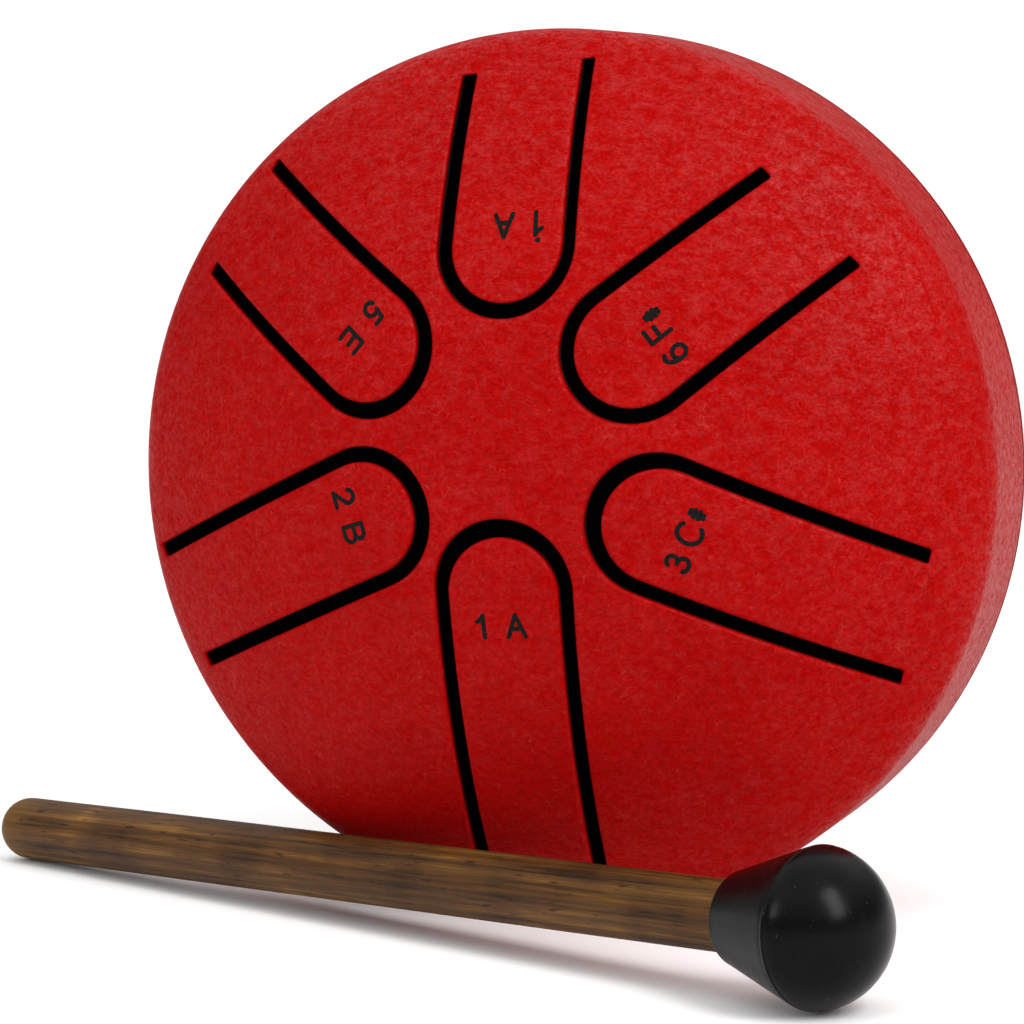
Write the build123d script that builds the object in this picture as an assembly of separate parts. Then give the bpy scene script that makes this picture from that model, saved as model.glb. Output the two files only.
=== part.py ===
from build123d import *
import os
from math import asin, cos, pi, radians, sin, sqrt

# Small steel tongue drum standing on its rim, with its mallet lying on the floor in front of it.
#
# Lengths are millimetres. The drum is drawn lying on its back: the middle of its playing face is
# the origin, the face looks along +Z and its twelve o'clock is +Y. stand() then turns the whole
# set so that the drum stands on its rim, the face looks along -Y and +Z is up. The origin of the
# finished part is the middle of the footprint of drum and mallet, on the floor.

# Drum body: two pressed shells with the same spherical crown and rounded shoulder
DRUM_RADIUS = 40.0
CROWN_RADIUS = 65.0
SHOULDER_RADIUS = 4.0
WALL_DEPTH = 12.0
SHEET = 1.3
SEAM_CHAMFER = 0.15
LIP_RISE = 1.5
LIP_SHEET = 0.8
LIP_CLEARANCE = 0.02

# Tongues: every axis starts from one point a little above the middle of the face
PATTERN_CENTRE = (-1.0, 2.6)
TONGUE_TIP_HALF = 5.05
TONGUE_ROOT_HALF = 4.8
SLOT_WIDTH = 1.3
ROOT_GAP = 0.1

# Name, direction of the axis in degrees, and distances from the pattern's centre: where the
# slot starts, then where it ends on the left and on the right, seen looking outwards. The last
# two are the slot's width at the tip, and how far the tongue sits to the left in its slot.
TONGUES = [
    ("tongue_low_a", -90.0, 5.3, 37.6, 37.6, 1.62, 0.0),
    ("tongue_b", 202.9, 7.6, 37.4, 37.4, 1.55, 0.0),
    ("tongue_c_sharp", -23.1, 8.8, 36.5, 38.35, 1.55, 0.0),
    ("tongue_e", 142.5, 9.5, 34.2, 35.3, 1.55, 0.0),
    ("tongue_f_sharp", 38.1, 8.6, 32.2, 33.6, 1.35, 0.0),
    ("tongue_high_a", 90.0, 12.0, 33.3, 34.6, 1.35, -0.15),
]

# Rubber feet, pushed into holes in the bottom shell
FOOT_CIRCLE_RADIUS = 22.0
FOOT_RADIUS = 4.6
FOOT_TAPER = 6.0
FOOT_STAND = 1.2
FOOT_EDGE = 0.7
FOOT_NECK_RADIUS = 1.8
FOOT_BARB_RADIUS = 2.7
FOOT_BARB_RISE = 1.4
FEET = [("foot_top", 90.0), ("foot_left", 210.0), ("foot_right", 330.0)]

# Mallet: a dowel with a round end, in a rubber head. The head is a cone that widens up to its
# mould seam, and the front of a ball beyond it. The reach ends at the middle of that ball.
SHAFT_RADIUS = 3.05
SHAFT_CHAMFER = 0.4
HEAD_RADIUS = 6.79
SEAM_AHEAD = 0.87
COLLAR_LENGTH = 7.9
COLLAR_RADIUS = 4.03
COLLAR_ROUND = 0.5
SOCKET_STOP = 0.5
MALLET_REACH = 107.1
MALLET_TURN = 30.03
HEAD_X = 31.57
HEAD_IN_FRONT = 21.37

# Worked out from the dimensions above
SHOULDER_CENTRE_RADIUS = DRUM_RADIUS - SHOULDER_RADIUS
SHOULDER_LEAN = asin(SHOULDER_CENTRE_RADIUS / (CROWN_RADIUS - SHOULDER_RADIUS))
CROWN_DEPTH = CROWN_RADIUS - (CROWN_RADIUS - SHOULDER_RADIUS) * cos(SHOULDER_LEAN)
SEAM_DEPTH = CROWN_DEPTH + WALL_DEPTH
BODY_DEPTH = SEAM_DEPTH + CROWN_DEPTH
REST_DEPTH = BODY_DEPTH + FOOT_STAND
MALLET_RISE = HEAD_RADIUS - SHAFT_RADIUS
MALLET_RUN = sqrt(MALLET_REACH**2 - MALLET_RISE**2)
HEAD_CENTRE = Vector(HEAD_X, HEAD_RADIUS - DRUM_RADIUS, HEAD_IN_FRONT)
MALLET_AXIS = Vector(
    MALLET_RUN * cos(radians(MALLET_TURN)), MALLET_RISE, MALLET_RUN * sin(radians(MALLET_TURN))
)
HANDLE_CENTRE = HEAD_CENTRE - MALLET_AXIS
FOOTPRINT_LEFT = HANDLE_CENTRE.X - SHAFT_RADIUS
FOOTPRINT_RIGHT = DRUM_RADIUS
FOOTPRINT_FRONT = -(HEAD_IN_FRONT + HEAD_RADIUS)
FOOTPRINT_BACK = REST_DEPTH
STANDING = Location(
    (
        -(FOOTPRINT_LEFT + FOOTPRINT_RIGHT) / 2,
        -(FOOTPRINT_FRONT + FOOTPRINT_BACK) / 2,
        DRUM_RADIUS,
    ),
    (90, 0, 0),
)


def stand(shape):
    """Turn a piece from the drawing position to where it stands on the floor."""
    return STANDING * shape


def crown_height(radius, inset=0.0):
    """Z of the top shell's skin, inset from its outer face, at a distance from the axis."""
    return sqrt((CROWN_RADIUS - inset) ** 2 - radius**2) - CROWN_RADIUS


def on_arc(centre, radius, lean):
    """Point of an arc in the section plane; lean is measured from the drum's axis."""
    return (centre[0] + radius * sin(lean), centre[1] + radius * cos(lean))


def filled_dome(inset, depth):
    """Everything inside the top shell's skin, down to a flat cut at this depth."""
    crown_centre = (0, -CROWN_RADIUS)
    shoulder_centre = (SHOULDER_CENTRE_RADIUS, -CROWN_DEPTH)
    crown = CROWN_RADIUS - inset
    shoulder = SHOULDER_RADIUS - inset
    top = on_arc(crown_centre, crown, 0)
    crown_middle = on_arc(crown_centre, crown, SHOULDER_LEAN / 2)
    join = on_arc(crown_centre, crown, SHOULDER_LEAN)
    shoulder_middle = on_arc(shoulder_centre, shoulder, (SHOULDER_LEAN + pi / 2) / 2)
    side = on_arc(shoulder_centre, shoulder, pi / 2)
    outline = [
        ThreePointArc(top, crown_middle, join),
        ThreePointArc(join, shoulder_middle, side),
        Polyline(side, (side[0], -depth), (0, -depth), top),
    ]
    return revolve(Plane.XZ * make_face(outline), Axis.Z)


def ring(outer, inner, bottom, top):
    """Flat ring about the drum's axis."""
    face = Plane.XY.offset(bottom) * (Circle(outer) - Circle(inner))
    return extrude(face, top - bottom)


def upright(radius, place, bottom, top):
    """Round bar parallel to the drum's axis."""
    return extrude(Plane.XY.offset(bottom) * Pos(*place) * Circle(radius), top - bottom)


def seam_edge(shell):
    """Outer edge of a shell at its seam."""
    rims = shell.edges().filter_by(GeomType.CIRCLE)
    rims = rims.filter_by_position(Axis.Z, -SEAM_DEPTH - 0.01, -SEAM_DEPTH + 0.01)
    return rims.sort_by(SortBy.RADIUS)[-1]


def tongue_prism(tongue, margin, root_gap):
    """Prism through the face with a tongue's outline, grown by a margin at its sides."""
    name, angle, slot_start, root_left, root_right, tip_gap, offset = tongue
    tip_half = TONGUE_TIP_HALF + margin
    root_half = TONGUE_ROOT_HALF + margin
    tip = slot_start if margin else slot_start + tip_gap
    shift = 0 if margin else offset
    root_middle = (root_left + root_right) / 2 - root_gap
    root_slope = (root_left - root_right) / (2 * (TONGUE_ROOT_HALF + SLOT_WIDTH))
    left_root = (root_middle + root_slope * (shift + root_half), shift + root_half)
    right_root = (root_middle + root_slope * (shift - root_half), shift - root_half)
    left_tip = (tip + tip_half, shift + tip_half)
    right_tip = (tip + tip_half, shift - tip_half)
    outline = [
        ThreePointArc(left_tip, (tip, shift), right_tip),
        Polyline(right_tip, right_root, left_root, left_tip),
    ]
    placed = Pos(*PATTERN_CENTRE) * Rot(0, 0, angle) * make_face(outline)
    return extrude(placed, -SEAM_DEPTH)


def mirror_to_back(shape):
    """Turn a piece of the top shell into the same piece of the bottom shell."""
    return shape.mirror(Plane.XY.offset(-BODY_DEPTH / 2))


def plain_shell():
    """Crown, shoulder and straight wall in one thickness of sheet."""
    return filled_dome(0, SEAM_DEPTH) - filled_dome(SHEET, SEAM_DEPTH)


def make_playing_shell():
    """The top shell before its slots are cut."""
    shell = plain_shell()
    return chamfer(seam_edge(shell), SEAM_CHAMFER)


def make_top_shell(blank):
    for tongue in TONGUES:
        blank -= tongue_prism(tongue, SLOT_WIDTH, 0)
    return blank


def make_tongue(blank, tongue):
    return blank & tongue_prism(tongue, 0, ROOT_GAP)


def foot_place(angle):
    return (FOOT_CIRCLE_RADIUS * cos(radians(angle)), FOOT_CIRCLE_RADIUS * sin(radians(angle)))


def make_bottom_shell():
    """Back shell with a joggled lip that locates it in the top shell."""
    cup = mirror_to_back(plain_shell())
    cup &= upright(DRUM_RADIUS, (0, 0), -REST_DEPTH, -SEAM_DEPTH)
    cup = chamfer(seam_edge(cup), SEAM_CHAMFER)
    bore = DRUM_RADIUS - SHEET
    lip_outer = bore - LIP_CLEARANCE
    lip_inner = lip_outer - LIP_SHEET
    cup += ring(bore, lip_inner, -SEAM_DEPTH - LIP_RISE, -SEAM_DEPTH)
    cup += ring(lip_outer, lip_inner, -SEAM_DEPTH, -SEAM_DEPTH + LIP_RISE)
    for name, angle in FEET:
        cup -= upright(FOOT_NECK_RADIUS, foot_place(angle), -REST_DEPTH, -SEAM_DEPTH)
    return cup


def make_foot(angle):
    """Rubber foot: a pad that follows the shell, a neck in the hole and a barb inside."""
    place = foot_place(angle)
    outside = -BODY_DEPTH - crown_height(FOOT_CIRCLE_RADIUS)
    inside = -BODY_DEPTH - crown_height(FOOT_CIRCLE_RADIUS, SHEET)
    top_face = Plane.XY.offset(inside) * Pos(*place) * Circle(FOOT_RADIUS)
    pad = extrude(top_face, inside + REST_DEPTH, dir=(0, 0, -1), taper=FOOT_TAPER)
    pad = fillet(pad.edges().group_by(Axis.Z)[0], FOOT_EDGE)
    pad -= mirror_to_back(filled_dome(0, SEAM_DEPTH))
    neck = upright(FOOT_NECK_RADIUS, place, outside - FOOT_EDGE, inside + FOOT_BARB_RISE)
    barb = upright(FOOT_BARB_RADIUS, place, outside, inside + FOOT_BARB_RISE)
    barb &= mirror_to_back(filled_dome(SHEET, SEAM_DEPTH))
    return pad + neck + barb


def on_mallet(shape):
    """Put a piece, drawn along +X from the handle's round end, on the mallet's line."""
    across = MALLET_AXIS.cross(Vector(0, 1, 0))
    return Location(Plane(HANDLE_CENTRE, x_dir=MALLET_AXIS, z_dir=across)) * shape


def make_shaft():
    end = MALLET_REACH - SOCKET_STOP
    outline = [
        RadiusArc((-SHAFT_RADIUS, 0), (0, SHAFT_RADIUS), SHAFT_RADIUS),
        Polyline(
            (0, SHAFT_RADIUS),
            (end - SHAFT_CHAMFER, SHAFT_RADIUS),
            (end, SHAFT_RADIUS - SHAFT_CHAMFER),
            (end, 0),
            (-SHAFT_RADIUS, 0),
        ),
    ]
    return revolve(make_face(outline), Axis.X)


def make_head(shaft):
    """Rubber head: rounded lip, cone, mould seam and ball front, with a blind socket."""
    rim_x = MALLET_REACH - COLLAR_LENGTH
    cone_x = rim_x + COLLAR_ROUND
    seam = (MALLET_REACH + SEAM_AHEAD, sqrt(HEAD_RADIUS**2 - SEAM_AHEAD**2))
    ball_side = (MALLET_REACH + HEAD_RADIUS * sin(pi / 4), HEAD_RADIUS * cos(pi / 4))
    ball_end = (MALLET_REACH + HEAD_RADIUS, 0)
    lip_middle = (rim_x + 0.2 * COLLAR_ROUND, COLLAR_RADIUS - 0.3 * (COLLAR_RADIUS - SHAFT_RADIUS))
    outline = [
        Polyline((rim_x, 0), (rim_x, SHAFT_RADIUS)),
        ThreePointArc((rim_x, SHAFT_RADIUS), lip_middle, (cone_x, COLLAR_RADIUS)),
        Line((cone_x, COLLAR_RADIUS), seam),
        ThreePointArc(seam, ball_side, ball_end),
        Line(ball_end, (rim_x, 0)),
    ]
    return revolve(make_face(outline), Axis.X) - shaft


def main():
    os.makedirs("parts", exist_ok=True)
    nodes = {}
    blank = make_playing_shell()
    nodes["top_shell"] = make_top_shell(blank)
    for tongue in TONGUES:
        nodes[tongue[0]] = make_tongue(blank, tongue)
    nodes["bottom_shell"] = make_bottom_shell()
    for name, angle in FEET:
        nodes[name] = make_foot(angle)
    shaft = make_shaft()
    nodes["mallet_shaft"] = on_mallet(shaft)
    nodes["mallet_head"] = on_mallet(make_head(shaft))
    for name, shape in nodes.items():
        export_step(stand(shape), f"parts/{name}.step")


main()
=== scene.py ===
"""Looks of a small steel tongue drum standing on its rim, with its mallet on the floor in front.

Shapes are worked out in millimetres in the drum's own axes: the middle of the playing face is the
origin, the face looks along +Z and its twelve o'clock is +Y. to_row() turns them into the part's
frame, in metres. The drum's face is one sheet of mesh with six U-shaped slots; it is split along
the root lines of the tongues into a shell and six tongues.
"""

from math import acos, asin, atan2, cos, pi, radians, sin, sqrt, tan

import bpy
import numpy as np
from mathutils import Euler, Matrix, Vector
from mathutils.geometry import delaunay_2d_cdt


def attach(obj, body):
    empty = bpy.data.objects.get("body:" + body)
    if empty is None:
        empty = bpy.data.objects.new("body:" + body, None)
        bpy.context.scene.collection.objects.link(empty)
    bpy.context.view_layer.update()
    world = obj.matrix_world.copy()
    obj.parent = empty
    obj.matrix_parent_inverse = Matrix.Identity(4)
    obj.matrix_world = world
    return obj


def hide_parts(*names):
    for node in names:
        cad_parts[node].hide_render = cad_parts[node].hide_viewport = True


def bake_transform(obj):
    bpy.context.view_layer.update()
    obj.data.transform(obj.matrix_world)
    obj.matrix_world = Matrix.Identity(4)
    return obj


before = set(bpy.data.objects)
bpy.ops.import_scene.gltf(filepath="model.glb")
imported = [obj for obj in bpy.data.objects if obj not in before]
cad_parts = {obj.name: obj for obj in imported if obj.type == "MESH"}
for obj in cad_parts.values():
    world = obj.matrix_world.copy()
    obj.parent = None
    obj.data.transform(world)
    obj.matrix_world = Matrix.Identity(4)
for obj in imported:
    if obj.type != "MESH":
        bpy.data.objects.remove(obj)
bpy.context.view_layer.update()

MM = 0.001

# Drum, in millimetres
AXIS_HEIGHT = 40.0
DRUM_RADIUS = AXIS_HEIGHT - 0.01
CROWN_RADIUS = 65.0
SHOULDER_RADIUS = 4.0
WALL_DEPTH = 12.0
SHEET = 1.3
SHOULDER_CENTRE = DRUM_RADIUS - SHOULDER_RADIUS
SHOULDER_LEAN = asin(SHOULDER_CENTRE / (CROWN_RADIUS - SHOULDER_RADIUS))
CROWN_DEPTH = CROWN_RADIUS - (CROWN_RADIUS - SHOULDER_RADIUS) * cos(SHOULDER_LEAN)
CROWN_EDGE = CROWN_RADIUS * sin(SHOULDER_LEAN)
FACE_EDGE = 39.0
LINING_EDGE = 38.6
SEAM_DEPTH = CROWN_DEPTH + WALL_DEPTH
BODY_DEPTH = SEAM_DEPTH + CROWN_DEPTH
SEAM_ROUND = 0.3
SEAM_GAP = 0.02
BORE = DRUM_RADIUS - SHEET

# Slots and tongues, in millimetres
PATTERN_CENTRE = np.array((-1.0, 2.6))
TONGUE_TIP_HALF = 5.05
TONGUE_ROOT_HALF = 4.8
SLOT_WIDTH = 1.3
EDGE_ROUND = 0.38
CORNER_ROUND = 0.2
EDGE_STEPS = 5
# How far down the slots' cut faces the painted shade stays dark red before it turns near-black
SHADE_RED_DEPTH = 0.75
BACK_CHAMFER = 0.12

# Name, axis angle, slot start, root on the left and on the right seen looking outwards, width of
# the slot at the tip, and how far the tongue sits to the left in its slot
TONGUES = [
    ("tongue_low_a", -90.0, 5.3, 37.6, 37.6, 1.62, 0.0),
    ("tongue_b", 202.9, 7.6, 37.4, 37.4, 1.55, 0.0),
    ("tongue_c_sharp", -23.1, 8.8, 36.5, 38.35, 1.55, 0.0),
    ("tongue_e", 142.5, 9.5, 34.2, 35.3, 1.55, 0.0),
    ("tongue_f_sharp", 38.1, 8.6, 32.2, 33.6, 1.35, 0.0),
    ("tongue_high_a", 90.0, 12.0, 33.3, 34.6, 1.35, -0.15),
]

# Mesh density, in millimetres and in points round a circle
GRID_STEP = 1.25
EDGE_POINT_STEP = 0.9
AROUND = 288

# Feet
FOOT_CIRCLE_RADIUS = 22.0
FOOT_RADIUS = 4.6
FOOT_TAPER = 6.0
FOOT_STAND = 1.2
FOOT_EDGE = 0.7
FOOT_SUNK = 0.4
# Radius and depth of the round mark left by the mould's gate
GATE_MARK = [(0.0, 0.25), (0.45, 0.25), (0.6, 0.12), (0.85, 0.0)]
FEET = [("foot_top", 90.0), ("foot_left", 210.0), ("foot_right", 330.0)]

# Mallet
SHAFT_RADIUS = 3.05
HEAD_RADIUS = 6.79
BALL_RADIUS = HEAD_RADIUS - 0.01
SEAM_AHEAD = 0.87
SEAM_HALF = 0.13
SEAM_RISE = 0.06
SEAM_BLEND = 0.36
COLLAR_LENGTH = 7.9
COLLAR_RADIUS = 4.03
COLLAR_ROUND = 0.5
SOCKET_DEPTH = 6.0
SHAFT_END_SHORT = 0.5
MALLET_REACH = 107.1
MALLET_TURN = 30.03
HEAD_X = 31.57
HEAD_IN_FRONT = 21.37
MALLET_RISE = HEAD_RADIUS - SHAFT_RADIUS
MALLET_RUN = sqrt(MALLET_REACH**2 - MALLET_RISE**2)
HEAD_CENTRE = Vector((HEAD_X, HEAD_RADIUS - AXIS_HEIGHT, HEAD_IN_FRONT))
MALLET_AXIS = Vector(
    (MALLET_RUN * cos(radians(MALLET_TURN)), MALLET_RISE, MALLET_RUN * sin(radians(MALLET_TURN)))
)
HANDLE_CENTRE = HEAD_CENTRE - MALLET_AXIS

# From the drum's axes to the part's frame
FOOTPRINT_X = (HANDLE_CENTRE.x - SHAFT_RADIUS + AXIS_HEIGHT) / 2
FOOTPRINT_Z = (BODY_DEPTH + FOOT_STAND - HEAD_IN_FRONT - HEAD_RADIUS) / 2


def to_row(points):
    """Points in the drum's axes, in millimetres, turned into the part's frame, in metres."""
    p = np.asarray(points, float)
    return np.stack((p[:, 0] - FOOTPRINT_X, -p[:, 2] - FOOTPRINT_Z, p[:, 1] + AXIS_HEIGHT), 1) * MM


def turn_to_row(directions):
    """Directions in the drum's axes, turned into the part's frame."""
    d = np.asarray(directions, float)
    return np.stack((d[:, 0], -d[:, 2], d[:, 1]), 1)


def unit(vectors):
    length = np.linalg.norm(vectors, axis=-1, keepdims=True)
    return vectors / np.maximum(length, 1e-12)


def mallet_place():
    """The mallet's own axes: origin in the middle of the handle's round end, X along the stick."""
    origin = Vector(to_row([tuple(HANDLE_CENTRE)])[0])
    x = Vector(turn_to_row([tuple(MALLET_AXIS)])[0]).normalized()
    up = Vector((0, 0, 1))
    y = up.cross(x).normalized()
    z = x.cross(y)
    place = Matrix((x, y, z)).transposed().to_4x4()
    place.translation = origin
    return place


def add_object(name, data):
    """New object in the scene."""
    item = bpy.data.objects.new(name, data)
    bpy.context.scene.collection.objects.link(item)
    return item


# ---------------------------------------------------------------- materials


def new_material(name):
    material = bpy.data.materials.new(name)
    material.use_nodes = True
    tree = material.node_tree
    shader = tree.nodes["Principled BSDF"]
    return material, tree, shader


def put(tree, kind, inputs=None, **settings):
    """New node with its settings; inputs maps a socket to a value or to another node's output."""
    node = tree.nodes.new(kind)
    for key, value in settings.items():
        setattr(node, key, value)
    for key, value in (inputs or {}).items():
        connect(tree, value, node.inputs[key])
    return node


def connect(tree, value, socket):
    if isinstance(value, bpy.types.NodeSocket):
        tree.links.new(value, socket)
    else:
        socket.default_value = value


def space(tree, scale=(1, 1, 1)):
    """Object coordinates in millimetres, stretched."""
    place = put(tree, "ShaderNodeTexCoord")
    sizes = tuple(s / MM for s in scale)
    return put(
        tree, "ShaderNodeMapping", {"Vector": place.outputs["Object"], "Scale": sizes}
    ).outputs["Vector"]


def mallet_space(tree, stretch=(1, 1, 1)):
    """Coordinates along and across the mallet in millimetres, stretched."""
    place = put(tree, "ShaderNodeTexCoord")
    own = mallet_place()
    inputs = {
        "Vector": place.outputs["Object"],
        "Location": own.translation,
        "Rotation": own.to_euler(),
        "Scale": tuple(MM / s for s in stretch),
    }
    return put(tree, "ShaderNodeMapping", inputs, vector_type="TEXTURE").outputs["Vector"]


def noise_at(tree, vector, scale, detail, roughness=0.5, distortion=0.0):
    inputs = {"Vector": vector, "Scale": scale, "Detail": detail, "Roughness": roughness}
    inputs["Distortion"] = distortion
    return put(tree, "ShaderNodeTexNoise", inputs).outputs["Fac"]


def cells_at(tree, vector, scale, feature):
    inputs = {"Vector": vector, "Scale": scale}
    return put(tree, "ShaderNodeTexVoronoi", inputs, feature=feature).outputs["Distance"]


def ramp(tree, factor, stops):
    """Colour ramp; stops are (position, colour) pairs."""
    node = put(tree, "ShaderNodeValToRGB", {"Fac": factor})
    band = node.color_ramp
    band.interpolation = "LINEAR"
    while len(band.elements) < len(stops):
        band.elements.new(0.5)
    for element, (position, colour) in zip(band.elements, stops):
        element.position = position
        element.color = (*colour, 1.0)
    return node.outputs["Color"]


def grey(value):
    return (value, value, value)


def fit_range(tree, value, low, high, to_low, to_high):
    return put(
        tree,
        "ShaderNodeMapRange",
        {"Value": value, "From Min": low, "From Max": high, "To Min": to_low, "To Max": to_high},
    ).outputs["Result"]


def calc(tree, operation, a, b):
    return put(tree, "ShaderNodeMath", {0: a, 1: b}, operation=operation).outputs[0]


def weighed(tree, a, share_a, b, share_b):
    """Sum of two values, each times its share."""
    first = calc(tree, "MULTIPLY", a, share_a)
    return calc(tree, "ADD", first, calc(tree, "MULTIPLY", b, share_b))


def mix_colour(tree, factor, a, b):
    node = put(tree, "ShaderNodeMix", data_type="RGBA", blend_type="MIX")
    connect(tree, factor, node.inputs["Factor"])
    connect(tree, a, node.inputs[6])
    connect(tree, b, node.inputs[7])
    return node.outputs[2]


def bump_from(tree, height, strength, distance, before=None):
    inputs = {"Height": height, "Strength": strength, "Distance": distance * MM}
    if before is not None:
        inputs["Normal"] = before
    return put(tree, "ShaderNodeBump", inputs).outputs["Normal"]


def rgba(red, green, blue):
    return (red, green, blue, 1.0)


def powder_coat(name, deep, mid, light, speck_and_highlight_strength, gloss):
    """Baked powder coat with a fine leathery grain, pale flecks and a few stray fibres.

    The flecks are stronger towards +X and +Z, a painted highlight on the side the light falls on,
    and glossier than the coat between them.
    """
    material, tree, shader = new_material(name)
    place = space(tree)
    drawn = space(tree, (0.6, 1.0, 1.0))
    drift = noise_at(tree, place, 0.09, 2.0)
    grain = noise_at(tree, place, 2.1, 4.0, 0.62, 0.35)
    cells = cells_at(tree, place, 1.7, "SMOOTH_F1")
    patch = noise_at(tree, drawn, 1.15, 3.0, 0.55, 0.3)
    fine = noise_at(tree, drawn, 4.6, 2.0, 0.55)
    fleck_and_highlight = weighed(tree, patch, 0.55, fine, 0.45)
    mottle = weighed(tree, grain, 0.75, drift, 0.25)
    colour = ramp(tree, mottle, [(0.36, deep), (0.52, mid), (0.70, light)])
    spot = put(tree, "ShaderNodeSeparateXYZ", {"Vector": place})
    # Painted highlight: the pale flecks grow stronger towards +X and +Z, where the light falls
    rise = calc(tree, "ADD", calc(tree, "MULTIPLY", spot.outputs["X"], 0.6), spot.outputs["Z"])
    painted_highlight_share = calc(tree, "ADD", rise, calc(tree, "MULTIPLY", drift, 20.0))
    painted_highlight_share = fit_range(tree, painted_highlight_share, 20.0, 85.0, 0.28, 1.0)
    fleck_and_highlight = calc(tree, "MULTIPLY", calc(tree, "SUBTRACT", fleck_and_highlight, 0.45), painted_highlight_share)
    pale_flecks_and_highlight = fit_range(tree, fleck_and_highlight, 0.06, 0.22, 0.0, speck_and_highlight_strength)
    colour = mix_colour(tree, pale_flecks_and_highlight, colour, rgba(light[0], light[1] + 0.014, light[2] + 0.012))
    edges = cells_at(tree, noise_bent(tree, place), 0.62, "DISTANCE_TO_EDGE")
    thin = fit_range(tree, edges, 0.0, 0.028, 1.0, 0.0)
    sparse = fit_range(tree, noise_at(tree, place, 0.85, 1.0), 0.60, 0.66, 0.0, 1.0)
    fibre = calc(tree, "MULTIPLY", calc(tree, "MULTIPLY", thin, sparse), 0.20)
    colour = mix_colour(tree, fibre, colour, rgba(0.50, 0.075, 0.06))
    tree.links.new(colour, shader.inputs["Base Color"])
    shine = fit_range(tree, grain, 0.35, 0.70, 0.56, 0.34)
    tree.links.new(shine, shader.inputs["Roughness"])
    sheen = fit_range(tree, fleck_and_highlight, -0.03, 0.19, 0.1 * gloss, gloss)
    tree.links.new(sheen, shader.inputs["Specular IOR Level"])
    height = weighed(tree, grain, 0.7, cells, 0.5)
    normal = bump_from(tree, height, 0.70, 0.10)
    normal = bump_from(tree, fine, 0.35, 0.03, normal)
    tree.links.new(normal, shader.inputs["Normal"])
    return material


def noise_bent(tree, place):
    """Coordinates pushed about by noise, so that cell edges become curved hairlines."""
    push = put(tree, "ShaderNodeTexNoise", {"Vector": place, "Scale": 0.5, "Detail": 2.0})
    reach = {0: push.outputs["Color"], 1: (1.6, 1.6, 1.6)}
    shift = put(tree, "ShaderNodeVectorMath", reach, operation="MULTIPLY").outputs[0]
    return put(tree, "ShaderNodeVectorMath", {0: place, 1: shift}, operation="ADD").outputs[0]


def painted_inside_shade(name):
    """Near-black inside of the drum, a little patchy: painted shade where no light reaches in."""
    material, tree, shader = new_material(name)
    place = space(tree)
    patches = noise_at(tree, place, 0.5, 4.0, 0.6)
    tree.links.new(
        ramp(tree, patches, [(0.3, (0.004, 0.0035, 0.0035)), (0.75, (0.012, 0.009, 0.009))]),
        shader.inputs["Base Color"],
    )
    tree.links.new(fit_range(tree, patches, 0.3, 0.7, 0.6, 0.85), shader.inputs["Roughness"])
    shader.inputs["Specular IOR Level"].default_value = 0.02
    tree.links.new(bump_from(tree, patches, 0.3, 0.05), shader.inputs["Normal"])
    return material


def ink(name):
    """Black stamping ink, lying on the grain of the coat."""
    material, tree, shader = new_material(name)
    place = space(tree)
    grain = noise_at(tree, place, 2.1, 4.0, 0.62, 0.35)
    cells = cells_at(tree, place, 1.7, "SMOOTH_F1")
    worn = noise_at(tree, place, 4.0, 3.0, 0.6)
    tree.links.new(
        ramp(tree, worn, [(0.35, (0.003, 0.0025, 0.0025)), (0.72, (0.010, 0.008, 0.008))]),
        shader.inputs["Base Color"],
    )
    tree.links.new(fit_range(tree, worn, 0.35, 0.7, 0.42, 0.6), shader.inputs["Roughness"])
    shader.inputs["Specular IOR Level"].default_value = 0.06
    height = weighed(tree, grain, 0.7, cells, 0.5)
    tree.links.new(bump_from(tree, height, 0.6, 0.08), shader.inputs["Normal"])
    return material


def moulded_rubber(name, dark, light, rough_low, rough_high, grain_depth):
    """Black rubber with a soft bloom, a fine grain and specks of dust."""
    material, tree, shader = new_material(name)
    place = space(tree)
    bloom = noise_at(tree, place, 0.35, 4.0, 0.55)
    grain = noise_at(tree, place, 4.5, 3.0, 0.6)
    dust = noise_at(tree, place, 2.6, 1.0)
    colour = ramp(tree, bloom, [(0.35, dark), (0.72, light)])
    specks = fit_range(tree, dust, 0.74, 0.80, 0.0, 0.16)
    colour = mix_colour(tree, specks, colour, rgba(0.16, 0.12, 0.10))
    tree.links.new(colour, shader.inputs["Base Color"])
    rough = fit_range(tree, bloom, 0.3, 0.7, rough_low, rough_high)
    tree.links.new(rough, shader.inputs["Roughness"])
    shader.inputs["Specular IOR Level"].default_value = 0.08
    normal = bump_from(tree, grain, 0.35, grain_depth)
    normal = bump_from(tree, bloom, 0.25, 0.12, normal)
    tree.links.new(normal, shader.inputs["Normal"])
    return material


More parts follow.
